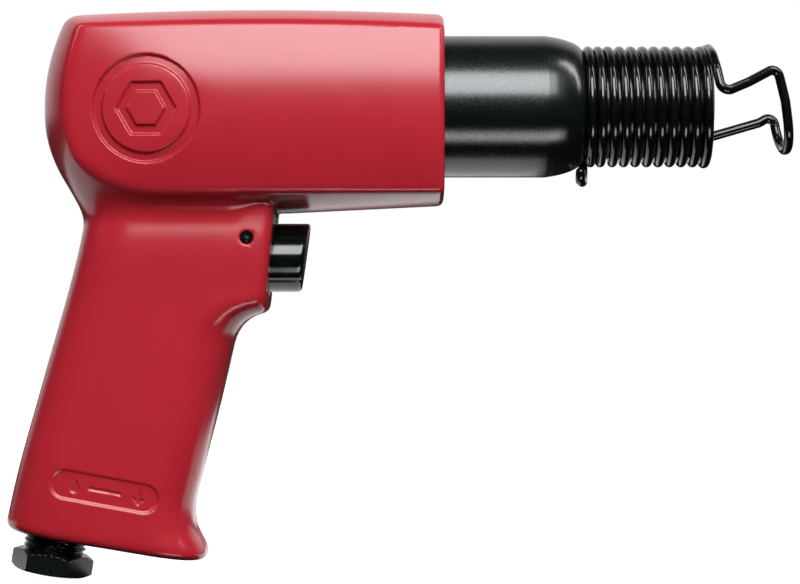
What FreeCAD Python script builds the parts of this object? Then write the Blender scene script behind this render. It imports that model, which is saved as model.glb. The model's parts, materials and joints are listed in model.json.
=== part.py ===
import FreeCAD, Part
import math
import os
from FreeCAD import Vector

# Pneumatic air hammer. Millimetres, +Z up. The origin is the mouth of the chisel-shank bore, at the
# centre of the barrel's front face; +X points forward out of the barrel and the grip hangs down, -Z.

# Housing body (the block that holds the barrel)
BODY_FRONT_X = -71.5
BODY_REAR_X = -178.9
BODY_TOP_Z = 25.8
BODY_BOTTOM_Z = -28.9
BODY_FRONT_BOTTOM_Z = -26.8
CREASE_Y = 20.5
CREASE_TOP_Z = 21.0
CREASE_BOTTOM_Z = -24.0
CREASE_REAR_X = -170.6
PANEL_Y = 23.5

# Grip
GRIP_SECTIONS = [
    # height, rear end, front end, half-width
    (-20.0, -166.5, -118.5, 15.2),
    (-29.0, -167.7, -119.5, 14.9),
    (-36.0, -168.9, -121.0, 16.0),
    (-50.0, -172.3, -124.5, 16.2),
    (-62.0, -175.7, -127.6, 16.2),
    (-79.0, -180.6, -131.5, 16.2),
    (-98.0, -185.8, -136.3, 16.2),
    (-108.0, -188.1, -138.5, 16.2),
    (-113.0, -189.2, -138.1, 16.2),
    (-119.0, -190.6, -135.4, 16.2),
    (-126.0, -192.2, -134.2, 16.2),
]
GRIP_SQUARENESS = 2.7
TRIGGER_HOUSING_Y = 15.8
TRIGGER_HOUSING_ROUND = 3.5
TRIGGER_HOUSING_FRONT_X = -116.0
TRIGGER_HOUSING_SLOPE = Vector(-4.0, 0, -42)

# Air inlet: its axis leaves the bottom of the grip, tilted back
INLET_TILT = math.radians(9.5)
INLET_MOUTH_FACE = Vector(-175.8, 0, -115.3)
INLET_AXIS = Vector(-math.sin(INLET_TILT), 0, -math.cos(INLET_TILT))
INLET_THREAD_R = 8.4
INLET_THREAD_PITCH = 1.41
INLET_THREAD_DEPTH = 0.75
INLET_INSIDE_LENGTH = 14.0
INLET_NECK = 4.7
INLET_HEX_ACROSS_FLATS = 19.05
INLET_HEX_THICK = 5.5
NPT_R = 5.56
NPT_LENGTH = 14.0

# Barrel
BARREL_R = 19.05
BARREL_TAPER_X = -44.3
BARREL_SHOULDER_X = -34.0
BARREL_REAR_X = -130.0
BARREL_THREAD_R = 18.0
BARREL_THREAD_X = -118.0
NOSE_R = 13.6
NOSE_GROOVE_R = 13.0
SHANK_BORE_R = 5.15
SHANK_BORE_LENGTH = 32.0
PISTON_BORE_R = 9.525
EXHAUST_PORT_X = -95.0

# Piston and valve
PISTON_R = 9.5
PISTON_LENGTH = 31.0
REST_GAP = 0.1
VALVE_BORE_R = 16.5
VALVE_FRONT_BLOCK_X = -138.0
VALVE_REAR_BLOCK_X = -150.0
VALVE_SHOULDER_X = -154.0
LIVE_CHAMBER_X = -168.0
LIVE_CHAMBER_R = 13.0
SHUTTLE_R = 9.0
SHUTTLE_STEM_R = 4.0

# Exhaust
EXHAUST_CHAMBER_R = 20.8
EXHAUST_CHAMBER_X = -80.0
EXHAUST_PASSAGE_R = 2.2
EXHAUST_POCKET_R = 8.0
EXHAUST_POCKET_DEPTH = 12.0
EXHAUST_OFFSET = 25.0

# Trigger and throttle
TRIGGER_Z = -40.7
TRIGGER_R = 9.2
TRIGGER_REAR_X = -131.9
TRIGGER_TRAVEL = 4.5
TRIGGER_GAP = 0.3
PIN_R = 1.6
PIN_WALL = 1.05
PIN_X = -123.6
PIN_Z = -35.6
POCKET_REAR_X = -137.0
THROTTLE_Z = -42.0
THROTTLE_BORE_R = 5.5
THROTTLE_BORE_X = -162.0
STEM_R = 2.0
SEAT_X = -147.4

# Retainer spring
WIRE_R = 1.3
COIL_R = 15.0
COIL_PITCH = 3.1
COIL_TURNS = 10.0
COIL_LEAD_TURNS = 0.305
COIL_START_X = -31.5
TANG_ROUTE = [Vector(-33.1, 8.6, -20.05), Vector(-34.8, -3.4, -20.05), Vector(-34.8, -4.2, -17.8)]
TANG_BEND_RADII = [5.0, 1.6]
WIRE_END_GAP = 0.1
LOOP_ROUTE = [
    Vector(-0.3, -2.3, 15.5), Vector(-0.2, -9.3, 13.4), Vector(0.4, -13.6, 9.0),
    Vector(1.6, -15.6, 2.4), Vector(9.0, -12.2, 5.6), Vector(17.2, -8.4, 10.0),
    Vector(19.4, -8.4, 1.0), Vector(21.0, -8.4, -11.7), Vector(20.7, 8.4, -11.5),
    Vector(18.9, 8.5, -1.4), Vector(15.2, 8.6, -3.6), Vector(1.4, 8.6, -7.6),
]
LOOP_BEND_RADII = [8.0, 6.0, 2.2, 6.0, 2.2, 12.0, 7.9, 7.9, 1.9, 3.0]

X_AXIS = Vector(1, 0, 0)
Y_AXIS = Vector(0, 1, 0)


def rod(radius, start, end):
    """A cylinder from one point to another."""
    span = end - start
    return Part.makeCylinder(radius, span.Length, start, span)


def disc(radius, rear_x, front_x, y=0.0, z=0.0):
    """A cylinder along X."""
    return rod(radius, Vector(rear_x, y, z), Vector(front_x, y, z))


def ring(outer, inner, rear_x, front_x, z=0.0):
    """A tube along X."""
    return disc(outer, rear_x, front_x, 0.0, z).cut(disc(inner, rear_x - 1, front_x + 1, 0.0, z))


def turned(points):
    """A solid of revolution about the X axis; points are (x, radius)."""
    wire = Part.makePolygon([Vector(x, 0, r) for x, r in points + points[:1]])
    return Part.Face(wire).revolve(Vector(0, 0, 0), X_AXIS, 360)


def prism(edges, start, direction):
    """Extrude a closed outline, moved to start, along a direction."""
    face = Part.Face(Part.Wire(edges))
    face.translate(start)
    return face.extrude(direction)


def arc(a, b, c):
    return Part.Arc(a, b, c).toShape()


def line(a, b):
    return Part.makeLine(a, b)


def side(x, z):
    """A point in the mid-plane of the tool."""
    return Vector(x, 0, z)


def inlet_point(depth):
    """A point on the inlet axis; positive depth is outside the grip."""
    return INLET_MOUTH_FACE + INLET_AXIS * depth


def superellipse(z, rear_x, front_x, half_width):
    """A closed horizontal grip section."""
    centre = (rear_x + front_x) / 2
    half_length = (front_x - rear_x) / 2
    power = 2 / GRIP_SQUARENESS
    points = []
    for step in range(28):
        angle = 2 * math.pi * step / 28
        c = math.cos(angle)
        s = math.sin(angle)
        x = centre + half_length * math.copysign(abs(c) ** power, c)
        y = half_width * math.copysign(abs(s) ** power, s)
        points.append(Vector(x, y, z))
    curve = Part.BSplineCurve()
    curve.interpolate(points, PeriodicFlag=True)
    return Part.Wire(curve.toShape())


# --- housing -------------------------------------------------------------------------------------

def body_cross_section():
    """Crowned roof, gently bulged side panels and a crowned bottom, extruded along X."""
    top_left = Vector(0, -CREASE_Y, CREASE_TOP_Z)
    top_right = Vector(0, CREASE_Y, CREASE_TOP_Z)
    low_left = Vector(0, -CREASE_Y, CREASE_BOTTOM_Z)
    low_right = Vector(0, CREASE_Y, CREASE_BOTTOM_Z)
    edges = [
        arc(top_left, Vector(0, 0, BODY_TOP_Z), top_right),
        arc(top_right, Vector(0, PANEL_Y, 0), low_right),
        arc(low_right, Vector(0, 0, BODY_BOTTOM_Z), low_left),
        arc(low_left, Vector(0, -PANEL_Y, 0), top_left),
    ]
    return prism(edges, Vector(BODY_REAR_X - 5, 0, 0), Vector(BODY_FRONT_X - BODY_REAR_X + 5, 0, 0))


def body_side_outline():
    """The outline seen from the side, with the bulged back, extruded along Y."""
    front_top = side(BODY_FRONT_X, BODY_TOP_Z - 1.2)
    rear_top = side(-170.4, 24.7)
    back_top = side(-173.6, 22.2)
    back_low = side(-174.0, -19.7)
    heel = side(-167.8, -29.5)
    neck_low = side(-114.0, BODY_BOTTOM_Z)
    front_low = side(BODY_FRONT_X, BODY_FRONT_BOTTOM_Z)
    edges = [
        arc(front_top, side(-118.8, BODY_TOP_Z), rear_top),
        arc(rear_top, side(-172.3, 24.1), back_top),
        arc(back_top, side(BODY_REAR_X, 0.3), back_low),
        arc(back_low, side(-170.0, -24.3), heel),
        line(heel, neck_low),
        line(neck_low, front_low),
        line(front_low, front_top),
    ]
    return prism(edges, Vector(0, -30, 0), Vector(0, 60, 0))


def body_plan():
    """The outline seen from above, rounded at the back, extruded along Z."""
    edges = [
        arc(Vector(CREASE_REAR_X, -CREASE_Y, 0), Vector(BODY_REAR_X, 0, 0),
            Vector(CREASE_REAR_X, CREASE_Y, 0)),
        arc(Vector(CREASE_REAR_X, CREASE_Y, 0), Vector(-125, PANEL_Y, 0),
            Vector(BODY_FRONT_X, PANEL_Y, 0)),
        line(Vector(BODY_FRONT_X, PANEL_Y, 0), Vector(BODY_FRONT_X, -PANEL_Y, 0)),
        arc(Vector(BODY_FRONT_X, -PANEL_Y, 0), Vector(-125, -PANEL_Y, 0),
            Vector(CREASE_REAR_X, -CREASE_Y, 0)),
    ]
    return prism(edges, Vector(0, 0, -40), Vector(0, 0, 80))


def grip():
    """The handle: lofted sections cut off square to the inlet axis."""
    sections = [superellipse(*section) for section in GRIP_SECTIONS]
    handle = Part.makeLoft(sections, True, False)
    across = Vector(-INLET_AXIS.z, 0, INLET_AXIS.x)
    below = Part.makeBox(160, 60, 40, Vector(-80, -30, 0))
    turn = FreeCAD.Rotation(across, Y_AXIS, INLET_AXIS, "ZXY")
    below.Placement = FreeCAD.Placement(INLET_MOUTH_FACE - across * 10, turn)
    return handle.cut(below)


def trigger_housing():
    """The forward bulge of the grip that the trigger slides in, with rounded upright corners."""
    corner = TRIGGER_HOUSING_ROUND
    bevel = corner * (1 - math.sqrt(0.5))
    half = TRIGGER_HOUSING_Y
    front = TRIGGER_HOUSING_FRONT_X
    rear = front - 34
    edges = [line(Vector(rear, -half, 0), Vector(rear, half, 0)),
             line(Vector(front, half - corner, 0), Vector(front, corner - half, 0))]
    for y in (half, -half):
        sign = math.copysign(1, y)
        turn = Vector(front - corner, y, 0)
        edges.append(line(Vector(rear, y, 0), turn))
        edges.append(arc(turn, Vector(front - bevel, y - sign * bevel, 0),
                         Vector(front, y - sign * corner, 0)))
    column = prism(Part.__sortEdges__(edges), Vector(0, 0, -22), TRIGGER_HOUSING_SLOPE)
    outline = [
        line(side(rear, -20), side(front + 5, -20)),
        line(side(front + 5, -20), side(front + 5, -55.4)),
        line(side(front + 5, -55.4), side(-120.6, -55.4)),
        arc(side(-120.6, -55.4), side(-125.4, -57.6), side(-128.8, -63)),
        line(side(-128.8, -63), side(rear, -63)),
        line(side(rear, -63), side(rear, -20)),
    ]
    return column.common(prism(outline, Vector(0, -30, 0), Vector(0, 60, 0)))


def exhaust_point(depth):
    """A point on the exhaust pocket's axis, beside the inlet; positive depth is outside."""
    across = Vector(-INLET_AXIS.z, 0, INLET_AXIS.x)
    return inlet_point(depth) + across * EXHAUST_OFFSET


def exhaust_passages():
    """Two drillings, one each side of the trigger, from the barrel down to the exhaust pocket."""
    passages = []
    for y in (-10.6, 10.6):
        stops = [Vector(-117, y, -19.5), Vector(-141.5, y, -27), Vector(-146, y, -64),
                 exhaust_point(-EXHAUST_POCKET_DEPTH + 0.5) + Vector(0, y * 0.45, 0)]
        for start, end in zip(stops, stops[1:]):
            passages.append(rod(EXHAUST_PASSAGE_R, start, end))
            passages.append(Part.makeSphere(EXHAUST_PASSAGE_R, end))
    return passages


def housing_hollows():
    """Every bore, pocket and passage inside the housing."""
    hollows = [
        disc(BARREL_R + 0.05, EXHAUST_CHAMBER_X - 1, BODY_FRONT_X + 1),
        disc(EXHAUST_CHAMBER_R, BARREL_THREAD_X, EXHAUST_CHAMBER_X),
        disc(BARREL_THREAD_R + 0.05, BARREL_REAR_X, BARREL_THREAD_X + 1),
        disc(VALVE_BORE_R, VALVE_SHOULDER_X, BARREL_REAR_X + 1),
        disc(LIVE_CHAMBER_R, LIVE_CHAMBER_X, VALVE_SHOULDER_X + 1),
        disc(TRIGGER_R + TRIGGER_GAP, POCKET_REAR_X, -110, 0, TRIGGER_Z),
        disc(THROTTLE_BORE_R, THROTTLE_BORE_X, POCKET_REAR_X + 1, 0, THROTTLE_Z),
        rod(PIN_R + 0.02, Vector(PIN_X, -30, PIN_Z), Vector(PIN_X, 30, PIN_Z)),
        rod(2.5, side(-142, THROTTLE_Z), side(-142, -21.5)),
        rod(2.5, side(-142, -21.5), side(-162, -21.5)),
        rod(2.5, side(-162, -21.5), side(-162, -9)),
        Part.makeSphere(2.5, side(-142, -21.5)),
        Part.makeSphere(2.5, side(-162, -21.5)),
        rod(INLET_THREAD_R + 0.02, inlet_point(-INLET_INSIDE_LENGTH - 2), inlet_point(5)),
        rod(4.0, inlet_point(-INLET_INSIDE_LENGTH - 1), side(-158, -45)),
        rod(EXHAUST_POCKET_R, exhaust_point(-EXHAUST_POCKET_DEPTH), exhaust_point(8)),
    ]
    return hollows + exhaust_passages()


def handle_housing():
    body = body_cross_section().common(body_side_outline()).common(body_plan())
    shell = body.fuse([grip(), trigger_housing()])
    return shell.cut(housing_hollows()).Solids[0]


# --- barrel group --------------------------------------------------------------------------------

def barrel():
    outline = [
        (BARREL_REAR_X, 0), (BARREL_REAR_X, BARREL_THREAD_R), (BARREL_THREAD_X, BARREL_THREAD_R),
        (BARREL_THREAD_X, BARREL_R), (-77.3, BARREL_R), (-77.3, 17.6), (-74.9, 17.6),
        (-74.9, BARREL_R), (BARREL_TAPER_X, BARREL_R), (-41.2, 18.55), (-38.2, 17.75),
        (-36.0, 16.8), (-34.8, 15.9), (-34.2, 15.0), (BARREL_SHOULDER_X, 14.2),
        (BARREL_SHOULDER_X, NOSE_GROOVE_R), (-31.0, NOSE_GROOVE_R), (-30.4, NOSE_R),
        (-0.8, NOSE_R), (0, NOSE_R - 0.8), (0, 0),
    ]
    body = turned(outline)
    cuts = [
        disc(SHANK_BORE_R, -SHANK_BORE_LENGTH - 1, 1),
        disc(PISTON_BORE_R, BARREL_REAR_X - 1, -SHANK_BORE_LENGTH),
        dowel_hole(1.55),
    ]
    for turn in range(4):
        port = rod(2.5, Vector(EXHAUST_PORT_X, 0, 0), Vector(EXHAUST_PORT_X, 0, 25))
        port.rotate(Vector(0, 0, 0), X_AXIS, 45 + 90 * turn)
        cuts.append(port)
    return body.cut(cuts)


def barrel_o_ring():
    return Part.makeTorus(18.36, 0.7, Vector(-76.1, 0, 0), X_AXIS)


def dowel_hole(radius):
    return disc(radius, -148.0, -127.0, 0, 13.4)


def air_holes():
    holes = []
    for angle in (45, 135, 225, 315):
        hole = disc(1.5, VALVE_REAR_BLOCK_X - 1, BARREL_REAR_X + 1, 0, 12.6)
        hole.rotate(Vector(0, 0, 0), X_AXIS, angle)
        holes.append(hole)
    return holes


def valve_block_front():
    block = disc(VALVE_BORE_R - 0.1, VALVE_FRONT_BLOCK_X + 0.02, BARREL_REAR_X - 0.02)
    cuts = [disc(5.5, VALVE_FRONT_BLOCK_X - 1, BARREL_REAR_X + 1),
            disc(SHUTTLE_R + 0.05, VALVE_FRONT_BLOCK_X - 1, -133.0), dowel_hole(1.55)]
    return block.cut(cuts + air_holes())


def valve_block_rear():
    block = disc(VALVE_BORE_R - 0.1, VALVE_REAR_BLOCK_X, VALVE_FRONT_BLOCK_X - 0.02)
    cuts = [disc(SHUTTLE_STEM_R + 0.05, VALVE_REAR_BLOCK_X - 1, VALVE_FRONT_BLOCK_X + 1),
            dowel_hole(1.55)]
    return block.cut(cuts + air_holes())


def shuttle_valve():
    head = disc(SHUTTLE_R, -137.9, -134.7)
    stem = disc(SHUTTLE_STEM_R, -148.0, -137.0)
    return head.fuse(stem).removeSplitter().cut(disc(1.6, -149, -130))


def valve_dowel_pin():
    return disc(1.5, -147.9, -127.1, 0, 13.4)


def valve_cushion():
    return ring(VALVE_BORE_R - 0.2, LIVE_CHAMBER_R + 0.1, VALVE_SHOULDER_X + 0.02,
                VALVE_REAR_BLOCK_X - 0.02)


def piston():
    rear = BARREL_REAR_X + REST_GAP
    front = rear + PISTON_LENGTH
    neck = PISTON_R - 0.7
    return turned([
        (rear, 0), (rear, PISTON_R - 0.8), (rear + 0.8, PISTON_R), (rear + 9, PISTON_R),
        (rear + 9.7, neck), (rear + 15, neck), (rear + 15.7, PISTON_R), (front - 1.5, PISTON_R),
        (front, PISTON_R - 1.5), (front, 0),
    ])


# --- trigger and throttle ------------------------------------------------------------------------

def trigger():
    """A round plunger with a slanted, slightly hollow front and a slot for the pin."""
    top = TRIGGER_Z + TRIGGER_R
    low = TRIGGER_Z - TRIGGER_R
    edges = [
        line(side(TRIGGER_REAR_X, top + 2), side(-107.0, top + 2)),
        line(side(-107.0, top + 2), side(-107.2, top - 1)),
        arc(side(-107.2, top - 1), side(-108.75, TRIGGER_Z), side(-109.8, low + 1)),
        line(side(-109.8, low + 1), side(-109.8, low - 2)),
        line(side(-109.8, low - 2), side(TRIGGER_REAR_X, low - 2)),
        line(side(TRIGGER_REAR_X, low - 2), side(TRIGGER_REAR_X, top + 2)),
    ]
    side_outline = prism(edges, Vector(0, -20, 0), Vector(0, 40, 0))
    button = disc(TRIGGER_R, TRIGGER_REAR_X, -104, 0, TRIGGER_Z).common(side_outline)
    slot_r = PIN_R + 0.1
    slot_rear = Vector(PIN_X - 0.2, -20, PIN_Z)
    slot_front = Vector(PIN_X + TRIGGER_TRAVEL + 0.1, -20, PIN_Z)
    slot = Part.makeBox((slot_front - slot_rear).Length, 40, 2 * slot_r,
                        slot_rear - Vector(0, 0, slot_r))
    ends = [Part.makeCylinder(slot_r, 40, slot_rear, Y_AXIS),
            Part.makeCylinder(slot_r, 40, slot_front, Y_AXIS)]
    return button.cut([slot] + ends)


def trigger_pin():
    """A rolled spring pin with its slit facing down."""
    pin = rod(PIN_R, Vector(PIN_X, -15.6, PIN_Z), Vector(PIN_X, 15.6, PIN_Z))
    core = rod(PIN_R - PIN_WALL, Vector(PIN_X, -17, PIN_Z), Vector(PIN_X, 17, PIN_Z))
    slit = Part.makeBox(0.4, 34, 3, Vector(PIN_X - 0.2, -17, PIN_Z - 3))
    return pin.cut([core, slit])


def throttle_bushing():
    front = POCKET_REAR_X
    body = disc(THROTTLE_BORE_R - 0.02, SEAT_X, front, 0, THROTTLE_Z)
    cuts = [
        disc(STEM_R + 0.05, SEAT_X - 1, front + 1, 0, THROTTLE_Z),
        disc(3.2, SEAT_X - 1, -141.2, 0, THROTTLE_Z),
        ring(THROTTLE_BORE_R + 1, 4.4, -144.6, -140.8, THROTTLE_Z),
        ring(THROTTLE_BORE_R + 1, 4.4, -139.8, -138.2, THROTTLE_Z),
        disc(3.1, -137.8, front + 1, 0, THROTTLE_Z),
    ]
    for y, z in ((1, 0), (-1, 0), (0, 1), (0, -1)):
        centre = Vector(-142.7, 0, THROTTLE_Z)
        cuts.append(rod(1.3, centre, centre + Vector(0, 7 * y, 7 * z)))
    return body.cut(cuts)


def throttle_bushing_o_ring():
    return Part.makeTorus(4.92, 0.5, Vector(-139.0, 0, THROTTLE_Z), X_AXIS)


def throttle_stem_o_ring():
    return Part.makeTorus(2.56, 0.39, Vector(-137.4, 0, THROTTLE_Z), X_AXIS)


def throttle_valve():
    stem = disc(STEM_R, -152.0, TRIGGER_REAR_X - REST_GAP, 0, THROTTLE_Z)
    head = disc(4.5, -151.0, -148.65, 0, THROTTLE_Z)
    tail = disc(1.6, -154.5, -151.5, 0, THROTTLE_Z)
    return stem.fuse([head, tail]).removeSplitter()


def throttle_seat_washer():
    return ring(4.3, STEM_R + 0.03, -148.62, SEAT_X - 0.03, THROTTLE_Z)


def throttle_spring():
    radius = 3.3
    wire = 0.35
    front = -151.1 - wire
    rear = THROTTLE_BORE_X + 0.3 + wire
    helix = Part.makeHelix((front - rear) / 5, front - rear, radius)
    profile = Part.Wire(Part.makeCircle(wire, Vector(radius, 0, 0), Y_AXIS))
    spring = Part.Wire(helix).makePipeShell([profile], True, True)
    spring.rotate(Vector(0, 0, 0), Y_AXIS, 90)
    spring.translate(Vector(rear, 0, THROTTLE_Z))
    return spring


# --- inlet and exhaust ---------------------------------------------------------------------------

def along_inlet(shape, start):
    """Move a solid built upwards along +Z from the origin so that it grows along the inlet axis."""
    shape.Placement = FreeCAD.Placement(start, FreeCAD.Rotation(Vector(0, 0, 1), INLET_AXIS))
    return shape


def hex_head():
    corner = INLET_HEX_ACROSS_FLATS / math.sqrt(3)
    points = []
    for step in range(7):
        angle = math.radians(60 * step)
        points.append(Vector(corner * math.cos(angle), corner * math.sin(angle), 0))
    bar = Part.Face(Part.makePolygon(points)).extrude(Vector(0, 0, INLET_HEX_THICK))
    low = Part.makeCone(INLET_HEX_ACROSS_FLATS / 2, INLET_HEX_ACROSS_FLATS / 2 + 10, 5.0)
    high = Part.makeCone(INLET_HEX_ACROSS_FLATS / 2 + 10, INLET_HEX_ACROSS_FLATS / 2, 5.0,
                         Vector(0, 0, INLET_HEX_THICK - 5.0))
    return bar.common(low).common(high)


def inlet_bushing():
    crest = INLET_THREAD_R
    root = crest - INLET_THREAD_DEPTH
    outline = [Vector(0, 0, 0), Vector(root, 0, 0)]
    height = 0.3
    length = INLET_INSIDE_LENGTH + INLET_NECK
    while height + INLET_THREAD_PITCH < length - 1.0:
        outline.append(Vector(root, 0, height))
        outline.append(Vector(crest, 0, height + INLET_THREAD_PITCH * 0.42))
        outline.append(Vector(crest, 0, height + INLET_THREAD_PITCH * 0.58))
        height += INLET_THREAD_PITCH
    outline += [Vector(root, 0, height), Vector(root, 0, length + 1), Vector(0, 0, length + 1),
                Vector(0, 0, 0)]
    threaded = Part.Face(Part.makePolygon(outline)).revolve(Vector(0, 0, 0), Vector(0, 0, 1), 360)
    head = hex_head()
    head.translate(Vector(0, 0, length))
    total = length + INLET_HEX_THICK
    cuts = [
        Part.makeCylinder(NPT_R, NPT_LENGTH + 1, Vector(0, 0, total - NPT_LENGTH)),
        Part.makeCone(NPT_R, NPT_R + 1.2, 1.2, Vector(0, 0, total - 1.2)),
        Part.makeCylinder(4.5, total, Vector(0, 0, -1)),
        Part.makeCylinder(6.0, 4.0, Vector(0, 0, -1)),
    ]
    return along_inlet(threaded.fuse(head).cut(cuts), inlet_point(-INLET_INSIDE_LENGTH))


def perforated_disc(radius, thick, hole_r, spacing):
    plate = Part.makeCylinder(radius, thick)
    holes = []
    for row in range(-4, 5):
        for column in range(-4, 5):
            x = spacing * (column + 0.5 * (row % 2))
            y = spacing * row * math.sqrt(3) / 2
            if math.hypot(x, y) < radius - hole_r - 0.6:
                holes.append(Part.makeCylinder(hole_r, thick + 2, Vector(x, y, -1)))
    return plate.cut(holes)


def inlet_screen():
    plate = perforated_disc(5.95, 0.6, 0.6, 1.9)
    return along_inlet(plate, inlet_point(-INLET_INSIDE_LENGTH + 2.35))


def snap_ring(outer, inner, thick):
    """An open wire ring."""
    loop = Part.makeCylinder(outer, thick).cut(Part.makeCylinder(inner, thick + 2, Vector(0, 0, -1)))
    gap = Part.makeBox(outer + 1, 2.4, thick + 2, Vector(0, -1.2, -1))
    return loop.cut(gap)


def inlet_screen_clip():
    return along_inlet(snap_ring(5.96, 5.1, 0.9), inlet_point(-INLET_INSIDE_LENGTH + 1.4))


def muffler_felt():
    felt = Part.makeCylinder(EXHAUST_POCKET_R - 0.1, 7.0)
    return along_inlet(felt, exhaust_point(-EXHAUST_POCKET_DEPTH + 1.5))


def exhaust_diffuser():
    plate = perforated_disc(EXHAUST_POCKET_R - 0.05, 1.8, 0.8, 2.6)
    return along_inlet(plate, exhaust_point(-EXHAUST_POCKET_DEPTH + 8.55))


def diffuser_snap_ring():
    return along_inlet(snap_ring(EXHAUST_POCKET_R - 0.02, EXHAUST_POCKET_R - 1.1, 1.0),
                       exhaust_point(-EXHAUST_POCKET_DEPTH + 10.4))


# --- retainer spring -----------------------------------------------------------------------------

def coil_point(turns):
    """A point on the coil's centreline; turn 0 is at the top, and the wire turns towards -Y."""
    angle = 2 * math.pi * turns
    x = COIL_START_X + COIL_PITCH * turns
    return Vector(x, -COIL_R * math.sin(angle), COIL_R * math.cos(angle))


def bent_wire(points, radii):
    """Round wire along straight runs joined by tangent arcs, with rounded ends."""
    edges = []
    last = points[0]
    for before, corner, after, radius in zip(points, points[1:], points[2:], radii):
        back = (before - corner).normalize()
        ahead = (after - corner).normalize()
        half = back.getAngle(ahead) / 2
        reach = radius / math.tan(half)
        start = corner + back * reach
        end = corner + ahead * reach
        inward = (back + ahead).normalize()
        middle = corner + inward * (radius / math.sin(half) - radius)
        edges.append(line(last, start))
        edges.append(arc(start, middle, end))
        last = end
    edges.append(line(last, points[-1]))
    path = Part.Wire(edges)
    profile = Part.Wire(Part.makeCircle(WIRE_R, points[0], points[1] - points[0]))
    return path.makePipeShell([profile], True, False)


def retainer_coil():
    """The turns wound on the barrel's nose, and the finger tang bent down at their rear end."""
    turns = COIL_TURNS + COIL_LEAD_TURNS
    helix = Part.makeHelix(COIL_PITCH, COIL_PITCH * turns, COIL_R)
    profile = Part.Wire(Part.makeCircle(WIRE_R, Vector(COIL_R, 0, 0), Y_AXIS))
    coil = Part.Wire(helix).makePipeShell([profile], True, True)
    coil.rotate(Vector(0, 0, 0), Y_AXIS, 90)
    coil.rotate(Vector(0, 0, 0), X_AXIS, 180 - 360 * COIL_LEAD_TURNS)
    coil.translate(Vector(coil_point(-COIL_LEAD_TURNS).x, 0, 0))
    leave = coil_point(-COIL_LEAD_TURNS)
    start = leave + (TANG_ROUTE[0] - leave).normalize() * WIRE_END_GAP
    tang = bent_wire([start] + TANG_ROUTE, TANG_BEND_RADII)
    tip = Part.makeSphere(WIRE_R, TANG_ROUTE[-1])
    return Part.makeCompound([coil, tang.fuse(tip)])


def retainer_loop():
    """The wire's free end: down the near side, out in front of the bore and round a U."""
    tip = Part.makeSphere(WIRE_R, LOOP_ROUTE[-1])
    return bent_wire(LOOP_ROUTE, LOOP_BEND_RADII).fuse(tip)


NODES = [
    handle_housing, barrel, barrel_o_ring, valve_block_front, valve_block_rear, shuttle_valve,
    valve_dowel_pin, valve_cushion, piston, trigger, trigger_pin, throttle_bushing,
    throttle_bushing_o_ring, throttle_stem_o_ring, throttle_valve, throttle_seat_washer,
    throttle_spring, inlet_bushing, inlet_screen, inlet_screen_clip, muffler_felt,
    exhaust_diffuser, diffuser_snap_ring, retainer_coil, retainer_loop,
]

os.makedirs("parts", exist_ok=True)
for build_node in NODES:
    shape = build_node()
    shape.exportStep("parts/" + build_node.__name__ + ".step")
    print(build_node.__name__, len(shape.Solids), shape.isValid(), round(shape.Volume, 1))
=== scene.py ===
import json
import math

import bpy
import numpy as np
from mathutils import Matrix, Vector

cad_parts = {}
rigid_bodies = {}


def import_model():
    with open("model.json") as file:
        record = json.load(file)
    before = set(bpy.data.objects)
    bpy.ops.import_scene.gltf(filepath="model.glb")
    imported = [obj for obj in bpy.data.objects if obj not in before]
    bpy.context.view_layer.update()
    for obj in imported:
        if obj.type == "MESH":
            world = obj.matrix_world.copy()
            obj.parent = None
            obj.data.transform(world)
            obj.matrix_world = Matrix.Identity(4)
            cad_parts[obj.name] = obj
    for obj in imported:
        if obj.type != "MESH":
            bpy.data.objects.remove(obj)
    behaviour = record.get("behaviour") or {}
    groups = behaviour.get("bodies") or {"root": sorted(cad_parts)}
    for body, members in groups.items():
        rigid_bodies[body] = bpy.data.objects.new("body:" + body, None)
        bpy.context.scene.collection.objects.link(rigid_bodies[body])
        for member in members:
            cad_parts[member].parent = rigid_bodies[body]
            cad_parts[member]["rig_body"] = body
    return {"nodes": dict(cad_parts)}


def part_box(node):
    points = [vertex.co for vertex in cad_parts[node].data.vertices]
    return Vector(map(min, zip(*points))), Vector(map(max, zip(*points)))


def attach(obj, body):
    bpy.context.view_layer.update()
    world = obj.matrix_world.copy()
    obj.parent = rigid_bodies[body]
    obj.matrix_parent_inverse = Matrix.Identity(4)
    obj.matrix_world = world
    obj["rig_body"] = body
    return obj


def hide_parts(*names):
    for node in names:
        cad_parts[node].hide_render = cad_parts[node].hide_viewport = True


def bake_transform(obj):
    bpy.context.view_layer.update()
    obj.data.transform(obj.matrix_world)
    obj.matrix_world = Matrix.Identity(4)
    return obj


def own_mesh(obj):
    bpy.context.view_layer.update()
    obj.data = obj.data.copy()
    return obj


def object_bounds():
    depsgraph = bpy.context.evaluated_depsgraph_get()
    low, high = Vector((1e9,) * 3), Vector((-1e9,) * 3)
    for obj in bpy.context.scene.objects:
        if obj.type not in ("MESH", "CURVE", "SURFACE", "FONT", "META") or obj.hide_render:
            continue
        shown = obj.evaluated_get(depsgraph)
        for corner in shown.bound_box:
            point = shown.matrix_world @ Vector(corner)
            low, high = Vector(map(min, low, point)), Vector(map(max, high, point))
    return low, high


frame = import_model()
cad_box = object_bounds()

# A pneumatic air hammer. Shapes are worked out in millimetres, and MM turns them into Blender's metres.
MM = 0.001


def box_mm(node):
    """The lowest and highest corners of a CAD node, in millimetres."""
    low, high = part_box(node)
    return low / MM, high / MM


# --- driving dimensions --------------------------------------------------------------------------

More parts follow.
